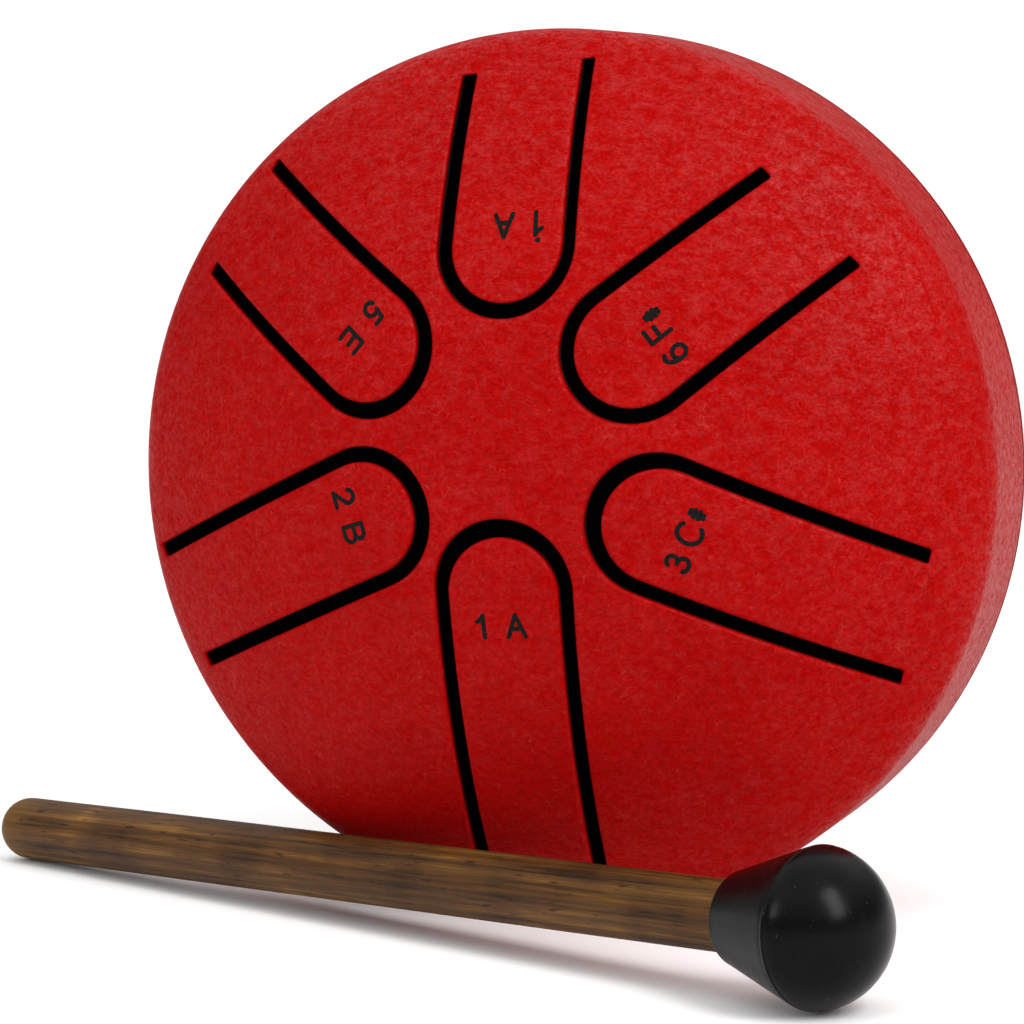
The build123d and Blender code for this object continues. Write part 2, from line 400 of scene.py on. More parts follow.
def stained_bamboo(name):
    """Dark stained bamboo: long streaks along the stick, dark pores and a paler handle end."""
    material, tree, shader = new_material(name)
    along = mallet_space(tree, (0.022, 1.0, 1.0))
    short = mallet_space(tree, (0.16, 1.0, 1.0))
    plain = mallet_space(tree)
    streak = noise_at(tree, along, 1.5, 5.0, 0.66, 0.2)
    fibre = noise_at(tree, along, 5.5, 3.0, 0.6)
    blotch = noise_at(tree, plain, 0.13, 3.0, 0.55)
    pores = noise_at(tree, short, 2.4, 2.0, 0.5)
    tone = weighed(tree, streak, 0.55, fibre, 0.2)
    tone = calc(tree, "ADD", tone, calc(tree, "MULTIPLY", blotch, 0.25))
    stops = [
        (0.39, (0.018, 0.0070, 0.0022)),
        (0.47, (0.058, 0.0235, 0.0055)),
        (0.56, (0.100, 0.0430, 0.0090)),
        (0.66, (0.250, 0.1200, 0.0190)),
    ]
    colour = ramp(tree, tone, stops)
    dark_pores = fit_range(tree, pores, 0.62, 0.72, 0.0, 0.75)
    colour = mix_colour(tree, dark_pores, colour, rgba(0.010, 0.004, 0.002))
    position = put(tree, "ShaderNodeSeparateXYZ", {"Vector": plain}).outputs["X"]
    wobble = calc(tree, "ADD", position, calc(tree, "MULTIPLY", blotch, 6.0))
    rubbed = fit_range(tree, wobble, 0.5, 6.5, 0.72, 0.0)
    colour = mix_colour(tree, rubbed, colour, rgba(0.170, 0.076, 0.010))
    tree.links.new(colour, shader.inputs["Base Color"])
    tree.links.new(fit_range(tree, fibre, 0.3, 0.7, 0.40, 0.58), shader.inputs["Roughness"])
    shader.inputs["Specular IOR Level"].default_value = 0.12
    height = weighed(tree, fibre, 0.6, streak, 0.5)
    height = calc(tree, "SUBTRACT", height, calc(tree, "MULTIPLY", dark_pores, 0.5))
    tree.links.new(bump_from(tree, height, 0.55, 0.12), shader.inputs["Normal"])
    return material


RED_DEEP = (0.245, 0.0006, 0.0005)
RED_MID = (0.296, 0.0010, 0.0008)
RED_LIGHT = (0.350, 0.0045, 0.0036)
coat = powder_coat("red_powder_coat", RED_DEEP, RED_MID, RED_LIGHT, 0.25, 0.14)
# Painted shade: a darker copy of the red coat for the upper cut faces inside the slots
SHADE_RED_DEEP = (0.11, 0.0004, 0.0004)
SHADE_RED_MID = (0.15, 0.0006, 0.0005)
SHADE_RED_LIGHT = (0.19, 0.0010, 0.0008)
painted_shade_red = powder_coat("thin_coat_in_slots", SHADE_RED_DEEP, SHADE_RED_MID, SHADE_RED_LIGHT, 0.0, 0.01)
# Painted shade: near-black for everything inside the drum and deep in the slots
inside_shade = painted_inside_shade("dark_inside")
stamp = ink("black_ink")
head_rubber = moulded_rubber("black_mallet_rubber", grey(0.0012), grey(0.0026), 0.22, 0.30, 0.010)
foot_rubber = moulded_rubber("black_foot_rubber", grey(0.012), grey(0.024), 0.5, 0.66, 0.03)
bamboo = stained_bamboo("dark_stained_bamboo")

# Material numbers of the shells and tongues
SHELL_MATERIALS = [coat, inside_shade, painted_shade_red]
COAT, INSIDE_SHADE, PAINTED_SHADE_RED = range(3)


# ---------------------------------------------------------------- meshes


def make_piece(name, points, faces, normals, materials, picks=None):
    """Smooth mesh in the part's frame, with the exact normals of the surface it stands for."""
    mesh = bpy.data.meshes.new(name)
    mesh.from_pydata(to_row(points).tolist(), [], [list(f) for f in faces])
    for material in materials:
        mesh.materials.append(material)
    if picks is not None:
        mesh.polygons.foreach_set("material_index", picks)
    mesh.polygons.foreach_set("use_smooth", [True] * len(mesh.polygons))
    mesh.update()
    mesh.normals_split_custom_set_from_vertices(turn_to_row(unit(np.asarray(normals))).tolist())
    return add_object(name, mesh)


def crown(radius):
    """Height of the outer face: the crown, and past its edge the shoulder."""
    radius = np.asarray(radius, float)
    on_crown = np.sqrt(CROWN_RADIUS**2 - np.square(np.minimum(radius, CROWN_EDGE))) - CROWN_RADIUS
    past = np.clip(radius - SHOULDER_CENTRE, 0, SHOULDER_RADIUS)
    on_shoulder = np.sqrt(SHOULDER_RADIUS**2 - np.square(past)) - CROWN_DEPTH
    return np.where(radius <= CROWN_EDGE, on_crown, on_shoulder)


def crown_slope(plan):
    """Gradient of the outer face at plan points."""
    radius = np.linalg.norm(plan, axis=-1, keepdims=True)
    past = np.clip((radius - SHOULDER_CENTRE) / SHOULDER_RADIUS, 0, 0.999)
    lean = np.where(radius <= CROWN_EDGE, np.arcsin(radius / CROWN_RADIUS), np.arcsin(past))
    return -plan / np.maximum(radius, 1e-9) * np.tan(lean)


def lining(radius):
    """Height of the inner face: a smaller crown that runs into the inner shoulder."""
    radius = np.asarray(radius, float)
    inner = CROWN_RADIUS - SHEET
    inner_shoulder = SHOULDER_RADIUS - SHEET
    join = inner * sin(SHOULDER_LEAN)
    on_crown = np.sqrt(inner**2 - np.square(np.minimum(radius, join))) - CROWN_RADIUS
    past = np.clip(radius - SHOULDER_CENTRE, 0, inner_shoulder)
    on_shoulder = np.sqrt(np.maximum(inner_shoulder**2 - np.square(past), 0)) - CROWN_DEPTH
    return np.where(radius <= join, on_crown, on_shoulder)


def lining_plan(plan):
    """Plan points drawn in a little near the edge, where the inner face ends sooner."""
    radius = np.linalg.norm(plan, axis=1, keepdims=True)
    start = 2 * LINING_EDGE - FACE_EDGE + 0.2
    squeeze = (LINING_EDGE - start) / (FACE_EDGE - start)
    drawn = np.where(radius > start, start + (radius - start) * squeeze, radius)
    return plan / np.maximum(radius, 1e-9) * drawn


def lining_normal(plan):
    """Normals of the inner face, which look back down into the drum."""
    radius = np.linalg.norm(plan, axis=1, keepdims=True)
    inner = CROWN_RADIUS - SHEET
    join = inner * sin(SHOULDER_LEAN)
    outward = plan / np.maximum(radius, 1e-9)
    lean_crown = np.arcsin(np.clip(radius / inner, 0, 1))
    past = np.clip((radius - SHOULDER_CENTRE) / (SHOULDER_RADIUS - SHEET), 0, 1)
    lean = np.where(radius <= join, lean_crown, np.arcsin(past))
    return np.hstack((-outward * np.sin(lean), -np.cos(lean)))


def in_steps(start, end, step):
    """Points from start towards end, without the end."""
    start, end = np.array(start, float), np.array(end, float)
    count = max(1, int(round(np.linalg.norm(end - start) / step)))
    return [start + (end - start) * i / count for i in range(count)]


def tip_arc(start_s, half, count):
    """Half circle from the left side round the tip to the right side, both ends included."""
    angles = np.linspace(pi / 2, 3 * pi / 2, count)
    return [np.array((start_s + half + half * cos(a), half * sin(a))) for a in angles]


def rounded_corner(before, corner, after, radius, count=5):
    """Small arc in place of a corner."""
    to_before = unit(np.array(before) - corner)
    to_after = unit(np.array(after) - corner)
    half_angle = acos(float(np.clip(np.dot(to_before, to_after), -1, 1))) / 2
    reach = radius / tan(half_angle)
    centre = corner + unit(to_before + to_after) * radius / sin(half_angle)
    first = corner + to_before * reach - centre
    last = corner + to_after * reach - centre
    points = []
    for i in range(count):
        share = i / (count - 1)
        points.append(centre + unit(first * (1 - share) + last * share) * radius)
    return points


def slot_outline(tongue):
    """Closed outline of a U-shaped slot in plan, and where on it the tongue's root line ends."""
    _, angle, slot_start, root_left, root_right, tip_gap, offset = tongue
    outer_half = TONGUE_ROOT_HALF + SLOT_WIDTH
    middle = (root_left + root_right) / 2
    slope = (root_left - root_right) / (2 * outer_half)

    def root(t):
        return np.array((middle + slope * t, t))

    a, d = root(outer_half), root(-outer_half)
    b, c = root(offset + TONGUE_ROOT_HALF), root(offset - TONGUE_ROOT_HALF)
    outer = tip_arc(slot_start, TONGUE_TIP_HALF + SLOT_WIDTH, 41)
    inner = [p + (0, offset) for p in tip_arc(slot_start + tip_gap, TONGUE_TIP_HALF, 35)[::-1]]
    corner_a = rounded_corner(b, a, outer[0], CORNER_ROUND)
    corner_d = rounded_corner(outer[-1], d, c, CORNER_ROUND)
    corner_c = rounded_corner(d, c, inner[0], CORNER_ROUND)
    corner_b = rounded_corner(inner[-1], b, a, CORNER_ROUND)
    stretches = [corner_a, outer, corner_d, corner_c, inner, corner_b]
    points, middles = [], []
    for stretch, following in zip(stretches, stretches[1:] + stretches[:1]):
        middles.append(len(points) + len(stretch) // 2)
        points += stretch
        points += in_steps(stretch[-1], following[0], EDGE_POINT_STEP)[1:]
    return on_face(np.array(points), angle), middles[3], middles[5]


def on_face(points, angle):
    """From a tongue's own axes, along and across it, to plan points on the drum."""
    along = np.array((cos(radians(angle)), sin(radians(angle))))
    across = np.array((-along[1], along[0]))
    return PATTERN_CENTRE + points[:, :1] * along + points[:, 1:2] * across


def loop_normals(loop):
    """Normals of a closed loop, pointing away from what it encloses, lengthened to mitre it."""
    ahead = unit(np.roll(loop, -1, axis=0) - loop)
    area = np.sum(loop[:, 0] * np.roll(loop[:, 1], -1) - loop[:, 1] * np.roll(loop[:, 0], -1))
    sign = 1.0 if area > 0 else -1.0
    edge = np.stack((ahead[:, 1], -ahead[:, 0]), 1) * sign
    both = edge + np.roll(edge, 1, axis=0)
    stretch = 1 / np.maximum(1 + np.sum(edge * np.roll(edge, 1, axis=0), axis=1), 0.2)
    return both * stretch[:, None]


def inside_loop(points, loop):
    """Which points are inside a closed loop."""
    x, y = points[:, 0][:, None], points[:, 1][:, None]
    x0, y0 = loop[:, 0][None], loop[:, 1][None]
    x1, y1 = np.roll(loop[:, 0], -1)[None], np.roll(loop[:, 1], -1)[None]
    crosses = (y0 > y) != (y1 > y)
    rise = np.where(np.abs(y1 - y0) < 1e-12, 1e-12, y1 - y0)
    left = x < (x1 - x0) * (y - y0) / rise + x0
    return np.sum(crosses & left, axis=1) % 2 == 1


def distance_to_loop(points, loop, closed=True):
    """Each point's distance to the nearest side of a loop, or of an open line."""
    ends = np.roll(loop, -1, axis=0) if closed else loop[1:]
    starts = loop if closed else loop[:-1]
    best = np.full(len(points), 1e9)
    for start, end in zip(starts, ends):
        run = end - start
        share = np.clip((points - start) @ run / max(run @ run, 1e-12), 0, 1)
        gap = np.linalg.norm(points - start - share[:, None] * run, axis=1)
        best = np.minimum(best, gap)
    return best


def circle_points(radius, count=AROUND):
    angles = np.arange(count) * 2 * pi / count
    return np.stack((radius * np.cos(angles), radius * np.sin(angles)), 1)


def hex_grid(radius, step):
    """Points of a triangular grid inside a circle."""
    rows = []
    height = step * sqrt(3) / 2
    count = int(radius / height) + 1
    for j in range(-count, count + 1):
        shift = step / 2 if j % 2 else 0.0
        xs = np.arange(-radius, radius, step) + shift
        rows.append(np.stack((xs, np.full(len(xs), j * height)), 1))
    grid = np.vstack(rows)
    return grid[np.linalg.norm(grid, axis=1) < radius]


slots = []
for tongue in TONGUES:
    loop, mark_c, mark_b = slot_outline(tongue)
    away = loop_normals(loop)
    rim = loop + away * EDGE_ROUND
    slots.append({"name": tongue[0], "loop": loop, "away": away, "rim": rim, "c": mark_c, "b": mark_b})


def facing_up(points, triangles):
    """The same triangles, all turned anticlockwise."""
    a, b, c = points[triangles[:, 0]], points[triangles[:, 1]], points[triangles[:, 2]]
    turned = (b[:, 0] - a[:, 0]) * (c[:, 1] - a[:, 1]) - (b[:, 1] - a[:, 1]) * (c[:, 0] - a[:, 0])
    triangles[turned < 0] = triangles[turned < 0][:, ::-1]
    return triangles


def face_plan():
    """Plan triangulation of the playing face: its points, its triangles and their middles.

    It also notes in each slot the number of the first point of its rim.
    """
    rim_circle = circle_points(FACE_EDGE)
    points = [rim_circle]
    edges = [[i, (i + 1) % AROUND] for i in range(AROUND)]
    total = AROUND
    blockers = [rim_circle]
    for slot in slots:
        count = len(slot["rim"])
        slot["first"] = total
        points.append(slot["rim"])
        edges += [[total + i, total + (i + 1) % count] for i in range(count)]
        total += count
        start, end = slot["rim"][slot["c"]], slot["rim"][slot["b"]]
        line = np.array(in_steps(start, end, EDGE_POINT_STEP)[1:])
        points.append(line)
        chain = [slot["first"] + slot["c"], *range(total, total + len(line)), slot["first"] + slot["b"]]
        edges += [[p, q] for p, q in zip(chain, chain[1:])]
        total += len(line)
        blockers.append(slot["rim"])
        blockers.append(line)
    grid = hex_grid(FACE_EDGE - 0.5 * GRID_STEP, GRID_STEP)
    keep = np.ones(len(grid), bool)
    for loop in blockers:
        keep &= distance_to_loop(grid, loop) > 0.5 * GRID_STEP
    for slot in slots:
        keep &= ~inside_loop(grid, slot["rim"])
    points.append(grid[keep])
    plan = np.vstack(points)
    made = delaunay_2d_cdt([Vector(p) for p in plan], edges, [], 0, 1e-7, True)
    out_points, out_faces, origin = made[0], made[2], made[3]
    back_to = [o[0] if o else -1 for o in origin]
    if len(out_points) != len(plan) or min(back_to) < 0:
        raise RuntimeError("the face plan has points that the triangulation merged or added")
    triangles = np.array([[back_to[i] for i in f] for f in out_faces])
    middle = plan[triangles].sum(axis=1) / 3
    triangles = facing_up(plan, triangles)
    keep = np.linalg.norm(middle, axis=1) < FACE_EDGE
    for slot in slots:
        keep &= ~inside_loop(middle, slot["rim"])
    return plan, triangles[keep], middle[keep]


plan, triangles, centres = face_plan()
owner = np.zeros(len(triangles), int)
for number, slot in enumerate(slots, 1):
    count = len(slot["rim"])
    run = [(slot["c"] + i) % count for i in range((slot["b"] - slot["c"]) % count + 1)]
    slot["run"] = run
    owner[inside_loop(centres, slot["rim"][run])] = number


class Surface:
    """Collects points, faces, normals and a material number for each face."""

    def __init__(self):
        self.points = []
        self.normals = []
        self.faces = []
        self.picks = []
        self.total = 0

    def add(self, points, normals):
        first = self.total
        self.points.append(np.asarray(points, float))
        self.normals.append(np.asarray(normals, float))
        self.total += len(points)
        return first

    def face(self, indices, pick=COAT):
        self.faces.append([int(i) for i in indices])
        self.picks.append(pick)

    def strip(self, upper, lower, pick):
        """Quads between two rows of equal length."""
        for i in range(len(upper) - 1):
            self.face((upper[i], upper[i + 1], lower[i + 1], lower[i]), pick)

    def piece(self, name, materials):
        return make_piece(
            name, np.vstack(self.points), self.faces, np.vstack(self.normals), materials, self.picks
        )


def lay_face(surface, triangle_rows):
    """Outer face over some of the plan's triangles.

    Returns each plan point's number in the surface, its number among the points used here, and
    the points used.
    """
    used = np.unique(triangle_rows)
    index = -np.ones(len(plan), int)
    index[used] = np.arange(len(used))
    flat = plan[used]
    radius = np.linalg.norm(flat, axis=1)
    slope = crown_slope(flat)
    outer = np.hstack((flat, crown(radius)[:, None]))
    first = surface.add(outer, np.hstack((-slope, np.ones((len(flat), 1)))))
    for row in triangle_rows:
        surface.face(first + index[row])
    return first + index, index, used


def lay_lining(surface, triangle_rows, index, used):
    """Inner face under the same triangles. Returns each plan point's number in the surface."""
    flat = lining_plan(plan[used])
    heights = lining(np.linalg.norm(flat, axis=1))
    first = surface.add(np.hstack((flat, heights[:, None])), lining_normal(flat))
    for row in triangle_rows:
        surface.face(first + index[row][::-1], INSIDE_SHADE)
    return first + index


def edge_row(slot, picks, step):
    """One row of points of a slot's rounded edge, from the face down to the cut."""
    angle = step / EDGE_STEPS * pi / 2
    away = slot["away"][picks]
    flat = slot["loop"][picks] + away * EDGE_ROUND * (1 - sin(angle))
    drop = EDGE_ROUND * (1 - cos(angle))
    radius = np.linalg.norm(flat, axis=1)
    points = np.hstack((flat, (crown(radius) - drop)[:, None]))
    level = -crown_slope(flat) * cos(angle) - unit(away) * sin(angle)
    return points, np.hstack((level, np.full((len(picks), 1), cos(angle))))


def lay_slot_edge(surface, slot, picks, outer_index, lining_index):
    """Rounded edge, cut face and a small chamfer at the back, along part of a slot's outline."""
    rows = [[outer_index[slot["first"] + i] for i in picks]]
    for step in range(1, EDGE_STEPS + 1):
        points, normals = edge_row(slot, picks, step)
        first = surface.add(points, normals)
        rows.append(list(range(first, first + len(picks))))
    flat = slot["loop"][picks]
    away = unit(slot["away"][picks])
    low = lining(np.linalg.norm(flat, axis=1))
    side = np.hstack((-away, np.zeros((len(picks), 1))))
    high = crown(np.linalg.norm(flat, axis=1))
    for height in (high - SHADE_RED_DEPTH, low + BACK_CHAMFER):
        first = surface.add(np.hstack((flat, height[:, None])), side)
        rows.append(list(range(first, first + len(picks))))
    rows.append([lining_index[slot["first"] + i] for i in picks])
    # Painted shade down the cut face: dark red below the rounded edge, then near-black
    strip_materials = [COAT] * EDGE_STEPS + [PAINTED_SHADE_RED, INSIDE_SHADE, INSIDE_SHADE]
    for upper, lower, pick in zip(rows, rows[1:], strip_materials):
        surface.strip(upper, lower, pick)


def ring_faces(before, row):
    """Faces between two rings of point numbers; where a ring is one point, they are triangles."""
    quads = zip(row, row[1:] + row[:1], before[1:] + before[:1], before)
    return [list(dict.fromkeys(quad)) for quad in quads]


def sweep(surface, profile, start_row=None, pick=COAT, count=AROUND):
    """Revolves (radius, height, lean) points round the drum's axis. Returns the last ring."""
    angles = np.arange(count) * 2 * pi / count
    ring = np.stack((np.cos(angles), np.sin(angles)), 1)
    before = start_row
    for radius, height, lean in profile:
        if radius < 1e-6:
            first = surface.add([(0, 0, height)], [(0, 0, cos(lean))])
            row = [first] * count
        else:
            points = np.hstack((ring * radius, np.full((count, 1), height)))
            normals = np.hstack((ring * sin(lean), np.full((count, 1), cos(lean))))
            first = surface.add(points, normals)
            row = list(range(first, first + count))
        if before is not None:
            for face in ring_faces(before, row):
                surface.face(face, pick)
        before = row
    return before


def shoulder_profile(inset, steps, first_lean=SHOULDER_LEAN):
    """(radius, height, lean) points round the shoulder, this far inside the outer face."""
    radius = SHOULDER_RADIUS - inset
    rows = []
    for i in range(steps + 1):
        lean = first_lean + (pi / 2 - first_lean) * i / steps
        rows.append((SHOULDER_CENTRE + radius * sin(lean), radius * cos(lean) - CROWN_DEPTH, lean))
    return rows


def seam_round(turn):
    """How far the seam's rounded edge has come inwards and along at this turn."""
    return SEAM_ROUND * (1 - cos(turn)), SEAM_ROUND * sin(turn)


def wall_and_seam():
    """Outer wall from below the shoulder to the seam, with the seam's rounded edge."""
    rows = []
    top, bottom = -CROWN_DEPTH, -SEAM_DEPTH + SEAM_GAP + SEAM_ROUND
    for i in range(1, 9):
        rows.append((DRUM_RADIUS, top + (bottom - top) * i / 8, pi / 2))
    for i in range(1, 5):
        turn = i / 4 * pi / 2
        inwards, along = seam_round(turn)
        rows.append((DRUM_RADIUS - inwards, bottom - along, pi / 2 + turn))
    return rows


def close_inside(surface, last):
    """Flat seam face and the inside of the wall, up to the inner shoulder."""
    bottom = -SEAM_DEPTH + SEAM_GAP
    sweep(surface, [(BORE, bottom, pi)], last)
    return sweep(surface, [(BORE, bottom, -pi / 2), (BORE, -CROWN_DEPTH, -pi / 2)], pick=INSIDE_SHADE)


def make_shell():
    """Playing face without its tongues, shoulder, wall and seam edge, and the inside of them."""
    surface = Surface()
    own = triangles[owner == 0]
    outer_index, index, used = lay_face(surface, own)
    lining_index = lay_lining(surface, own, index, used)
    for slot in slots:
        count = len(slot["rim"])
        picks = [(slot["b"] + i) % count for i in range((slot["c"] - slot["b"]) % count + 1)]
        lay_slot_edge(surface, slot, picks, outer_index, lining_index)
    rim_row = [outer_index[i] for i in range(AROUND)]
    outer_start = asin((FACE_EDGE - SHOULDER_CENTRE) / SHOULDER_RADIUS)
    outside = shoulder_profile(0, 10, outer_start)[1:] + wall_and_seam()
    last = sweep(surface, outside, rim_row)
    last = close_inside(surface, last)
    inner_start = asin((LINING_EDGE - SHOULDER_CENTRE) / (SHOULDER_RADIUS - SHEET))
    inner = shoulder_profile(SHEET, 4, inner_start)[1:-1]
    rows = [(r, z, lean + pi) for r, z, lean in reversed(inner)]
    last = sweep(surface, rows, last, pick=INSIDE_SHADE)
    inner_rim = [lining_index[i] for i in range(AROUND)]
    for i in range(AROUND):
        j = (i + 1) % AROUND
        surface.face((last[i], inner_rim[i], inner_rim[j], last[j]), INSIDE_SHADE)
    return surface.piece("shell_front", SHELL_MATERIALS)


def make_tongue(number, slot):
    """One tongue of the face, with its cut edges."""
    surface = Surface()
    own = triangles[owner == number]
    outer_index, index, used = lay_face(surface, own)
    lining_index = lay_lining(surface, own, index, used)
    lay_slot_edge(surface, slot, slot["run"], outer_index, lining_index)
    return surface.piece(slot["name"].replace("tongue", "blade"), SHELL_MATERIALS)


def bend_with_root(piece):
    """Bakes the piece's placement into its mesh."""
    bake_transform(piece)


shell = make_shell()
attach(shell, "drum")
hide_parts("top_shell")
for number, (tongue, slot) in enumerate(zip(TONGUES, slots), 1):
    blade = make_tongue(number, slot)
    bend_with_root(blade)
    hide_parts(tongue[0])


# ---------------------------------------------------------------- note marks

CAP_HEIGHT = 1.94
STROKE_HALF = 0.20
MARK_RISE = 0.025


def arc(centre, radii, start, end, count=12):
    """Points of an ellipse's arc, angles in degrees."""
    points = []
    for i in range(count + 1):
        angle = radians(start + (end - start) * i / count)
        points.append((centre[0] + radii[0] * cos(angle), centre[1] + radii[1] * sin(angle)))
    return points


def sharp_strokes(foot):
    """Two bars up and two across, over a foot at this height."""
    return [
        [(0.24, foot), (0.34, foot + 0.62)],
        [(0.68, foot), (0.78, foot + 0.62)],
        [(0.0, foot + 0.20), (1.0, foot + 0.20)],
        [(0.02, foot + 0.43), (1.0, foot + 0.43)],
    ]


# Each sign is a list of strokes in a box one unit high; widths are in millimetres
SIGNS = {
    "1": (0.56, [[(1.0, 0.0), (1.0, 1.0), (0.72, 0.86), (0.0, 0.72)]]),
    "2": (1.32, [arc((0.48, 0.70), (0.44, 0.30), 165, -28, 14) + [(0.02, 0.0), (1.0, 0.0)]]),
    "3": (
        1.15,
        [
            arc((0.46, 0.76), (0.42, 0.24), 150, -70, 12) + [(0.42, 0.53)],
            [(0.42, 0.53)] + arc((0.46, 0.27), (0.52, 0.27), 75, -160, 14),
        ],
    ),
    "5": (
        1.12,
        [[(0.92, 1.0), (0.22, 1.0), (0.08, 0.52)] + arc((0.46, 0.32), (0.50, 0.32), 130, -155, 14)],
    ),
    "6": (
        1.20,
        [
            arc((0.50, 0.31), (0.48, 0.31), 180, 540, 22),
            [(0.90, 0.93)] + arc((0.62, 0.42), (0.60, 0.58), 80, 180, 9) + [(0.02, 0.31)],
        ],
    ),
    "A": (1.56, [[(0.0, 0.0), (0.5, 1.0), (1.0, 0.0)], [(0.19, 0.37), (0.81, 0.37)]]),
    "B": (
        1.42,
        [
            [(0.0, 0.0), (0.0, 1.0), (0.55, 1.0)]
            + arc((0.55, 0.765), (0.37, 0.235), 90, -90, 8)
            + [(0.0, 0.53)],
            [(0.0, 0.53), (0.58, 0.53)]
            + arc((0.58, 0.265), (0.42, 0.265), 90, -90, 8)
            + [(0.0, 0.0)],
        ],
    ),
    "C": (1.78, [arc((0.52, 0.5), (0.52, 0.56), 48, 312, 22)]),
    "E": (
        1.30,
        [[(1.0, 1.0), (0.0, 1.0), (0.0, 0.0), (1.0, 0.0)], [(0.0, 0.51), (0.88, 0.51)]],
    ),
    "F": (1.28, [[(1.0, 1.0), (0.0, 1.0), (0.0, 0.0)], [(0.0, 0.52), (0.86, 0.52)]]),
    "sharp": (0.64, sharp_strokes(0.20)),
    "low_sharp": (0.64, sharp_strokes(-0.06)),
    "dot": (0.10, [[(0.0, 1.24), (1.0, 1.24)]]),
}

# Tongue, baseline's distance from the pattern's centre, tilt in degrees, and (sign, left edge)
MARKS = [
    ("tongue_low_a", 15.72, 2.0, [("1", -2.40), ("A", 0.38)]),
    ("tongue_b", 16.34, -6.5, [("2", -3.22), ("B", 0.0)]),
    ("tongue_c_sharp", 18.92, 0.0, [("3", -2.86), ("C", -0.42), ("sharp", 1.92)]),
    ("tongue_e", 18.42, -3.0, [("5", -3.28), ("E", -0.16)]),
    ("tongue_f_sharp", 18.62, 1.0, [("6", -3.26), ("F", -0.72), ("low_sharp", 1.02)]),
    ("tongue_high_a", 21.02, 3.0, [("1", -3.30), ("dot", -3.02), ("A", -0.64)]),
]


def capsule(start, end, steps=8):
    """Outline of a short round-ended stroke, anticlockwise."""
    start, end = np.array(start), np.array(end)
    heading = atan2(end[1] - start[1], end[0] - start[0])
    points = []
    for centre, turn in ((end, -pi / 2), (start, pi / 2)):
        for i in range(steps + 1):
            angle = heading + turn + pi * i / steps
            points.append((centre[0] + STROKE_HALF * cos(angle), centre[1] + STROKE_HALF * sin(angle)))
    return points


def stroke_pieces(signs):
    """The short straight pieces of all strokes of a note mark, in millimetres."""
    pieces = []
    for sign, left in signs:
        width, strokes = SIGNS[sign]
        for stroke in strokes:
            scaled = [np.array((left + p[0] * width, p[1] * CAP_HEIGHT)) for p in stroke]
            for start, end in zip(scaled, scaled[1:]):
                if np.linalg.norm(end - start) > 1e-6:
                    pieces.append((start, end))
    return pieces


def mark_plan(signs):
    """Points and triangles of a note mark laid flat."""
    pieces = stroke_pieces(signs)
    points, polygons = [], []
    for start, end in pieces:
        ring = capsule(start, end)
        polygons.append(list(range(len(points), len(points) + len(ring))))
        points += ring
    made = delaunay_2d_cdt([Vector(p) for p in points], [], polygons, 1, 1e-5, False)
    flat = np.array([tuple(p) for p in made[0]])
    tris = np.array([list(f) for f in made[2]])
    middle = flat[tris].mean(axis=1)
    gap = np.full(len(middle), 1e9)
    for start, end in pieces:
        gap = np.minimum(gap, distance_to_loop(middle, np.array((start, end)), False))
    tris = tris[gap < STROKE_HALF]
    used = np.unique(tris)
    renumber = -np.ones(len(flat), int)
    renumber[used] = np.arange(len(used))
    return flat[used], facing_up(flat[used], renumber[tris])


def make_mark(tongue, mark):
    """One tongue's note mark: a thin skin of ink that follows the face."""
    name, baseline, tilt, signs = mark
    flat, tris = mark_plan(signs)
    lean = radians(tilt)
    across = flat[:, 0] * cos(lean) - flat[:, 1] * sin(lean)
    upwards = flat[:, 0] * sin(lean) + flat[:, 1] * cos(lean)
    place = on_face(np.stack((baseline - upwards, across), 1), tongue[1])
    radius = np.linalg.norm(place, axis=1)
    normals = unit(np.hstack((-crown_slope(place), np.ones((len(place), 1)))))
    surface_points = np.hstack((place, crown(radius)[:, None]))
    surface = Surface()
    top = surface.add(surface_points + normals * MARK_RISE, normals)
    for row in tris:
        surface.face(top + row)
    sides = [(row[i], row[(i + 1) % 3]) for row in tris for i in range(3)]
    known = set(sides)
    low = surface.add(surface_points - normals * MARK_RISE, normals)
    for p, q in sides:
        if (q, p) not in known:
            surface.face((top + p, low + p, low + q, top + q))
    return surface.piece("note_mark_" + name.replace("tongue_", ""), [stamp])


for tongue, mark in zip(TONGUES, MARKS):
    note = make_mark(tongue, mark)
    bend_with_root(note)


# ---------------------------------------------------------------- back shell and feet


def mirrored(profile):
    """The same profile on the drum's back."""
    return [(r, -BODY_DEPTH - z, pi - lean) for r, z, lean in profile]


def crown_profile(inset, steps):
    """(radius, height, lean) points down the crown, this far inside the outer face."""
    radius = CROWN_RADIUS - inset
    rows = []
    for i in range(steps + 1):
        lean = SHOULDER_LEAN * i / steps
        rows.append((radius * sin(lean), radius * cos(lean) - CROWN_RADIUS, lean))
    return rows


def make_back():
    """Back shell: the face's pressing without slots, and the inside of it."""
    surface = Surface()
    rows = mirrored(crown_profile(0, 30) + shoulder_profile(0, 10)[1:])
    seam = -SEAM_DEPTH - SEAM_GAP
    for i in range(1, 5):
        turn = i / 4 * pi / 2
        inwards, along = seam_round(turn)
        rows.append((DRUM_RADIUS - inwards, seam - SEAM_ROUND + along, pi / 2 - turn))
    rows.append((BORE, seam, 0.0))
    sweep(surface, rows)
    inside = mirrored(crown_profile(SHEET, 20) + shoulder_profile(SHEET, 6)[1:])
    inside = [(r, z, lean + pi) for r, z, lean in reversed(inside)]
    sweep(surface, [(BORE, seam, -pi / 2)] + inside, pick=INSIDE_SHADE)
    for face in surface.faces:
        face.reverse()
    return surface.piece("shell_back", [coat, inside_shade])


